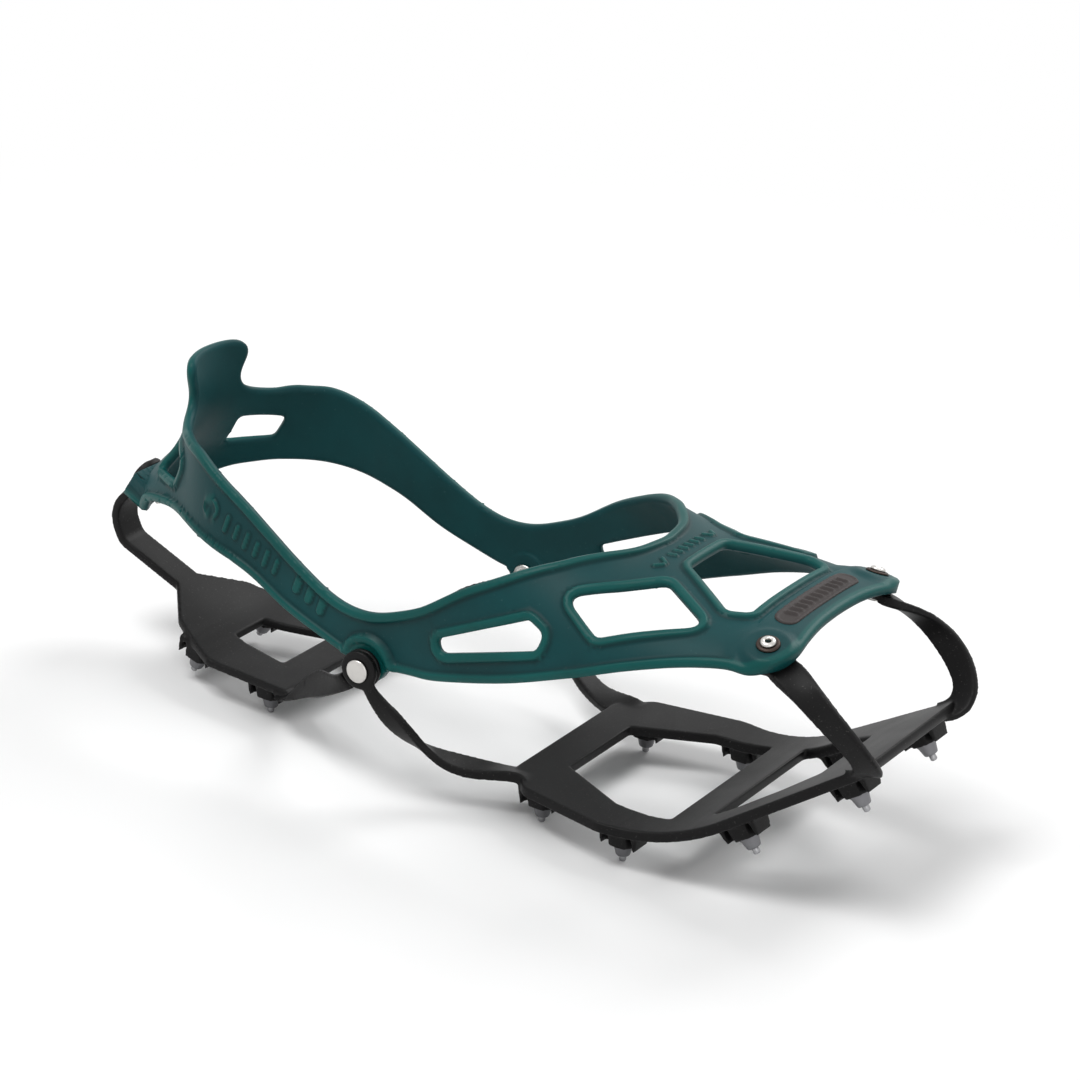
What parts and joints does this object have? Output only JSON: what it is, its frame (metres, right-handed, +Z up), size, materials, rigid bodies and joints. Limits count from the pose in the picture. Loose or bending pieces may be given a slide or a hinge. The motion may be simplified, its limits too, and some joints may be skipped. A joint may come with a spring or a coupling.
{
  "type": "crampon",
  "caption": "Slip-on traction device: an elastomer harness with two hinged stud plates under the sole.",
  "frame": {"origin": "bottom centre of the bounding box, on the plane of the stud tips", "axes": "+X to the toe, +Y to the wearer's left, +Z up"},
  "size_m": [0.2954, 0.1062, 0.1055],
  "materials": {
    "elastomer": "semi-matte moulded elastomer with fine grain",
    "badge_rubber": "matte moulded elastomer",
    "plate_polymer": "matte moulded polymer",
    "rivet_nickel": "bright nickel plate",
    "stud_steel": "blasted steel",
    "carbide": "ground carbide"
  },
  "bodies": {
    "forefoot": {"badge": "badge_rubber", "carbide_tip_front_1": "carbide", "carbide_tip_front_2": "carbide", "carbide_tip_front_3": "carbide", "carbide_tip_front_4": "carbide", "carbide_tip_front_5": "carbide", "carbide_tip_front_6": "carbide", "carbide_tip_front_7": "carbide", "carbide_tip_front_8": "carbide", "forefoot_plate": "plate_polymer", "front_rivet_cap_left": "rivet_nickel", "front_rivet_cap_right": "rivet_nickel", "front_rivet_left": "rivet_nickel", "front_rivet_right": "rivet_nickel", "front_washer_left": "rivet_nickel", "front_washer_right": "rivet_nickel", "harness_bend": "elastomer", "harness_front": "elastomer", "side_rivet_cap_left": "rivet_nickel", "side_rivet_cap_right": "rivet_nickel", "side_rivet_left": "rivet_nickel", "side_rivet_right": "rivet_nickel", "stud_body_front_1": "stud_steel", "stud_body_front_2": "stud_steel", "stud_body_front_3": "stud_steel", "stud_body_front_4": "stud_steel", "stud_body_front_5": "stud_steel", "stud_body_front_6": "stud_steel", "stud_body_front_7": "stud_steel", "stud_body_front_8": "stud_steel"},
    "heel": {"carbide_tip_heel_1": "carbide", "carbide_tip_heel_2": "carbide", "carbide_tip_heel_3": "carbide", "carbide_tip_heel_4": "carbide", "harness_rear": "elastomer", "heel_plate": "plate_polymer", "heel_rivet": "rivet_nickel", "heel_rivet_cap": "rivet_nickel", "stud_body_heel_1": "stud_steel", "stud_body_heel_2": "stud_steel", "stud_body_heel_3": "stud_steel", "stud_body_heel_4": "stud_steel"}
  },
  "joints": [
    {"name": "midfoot_flex", "type": "hinge", "parent": "forefoot", "child": "heel", "pos_m": [-0.01824, 0, 0.04051], "axis": [0, 1, 0], "range_deg": [-5, 35], "deforming": ["harness_bend"]}
  ]
}
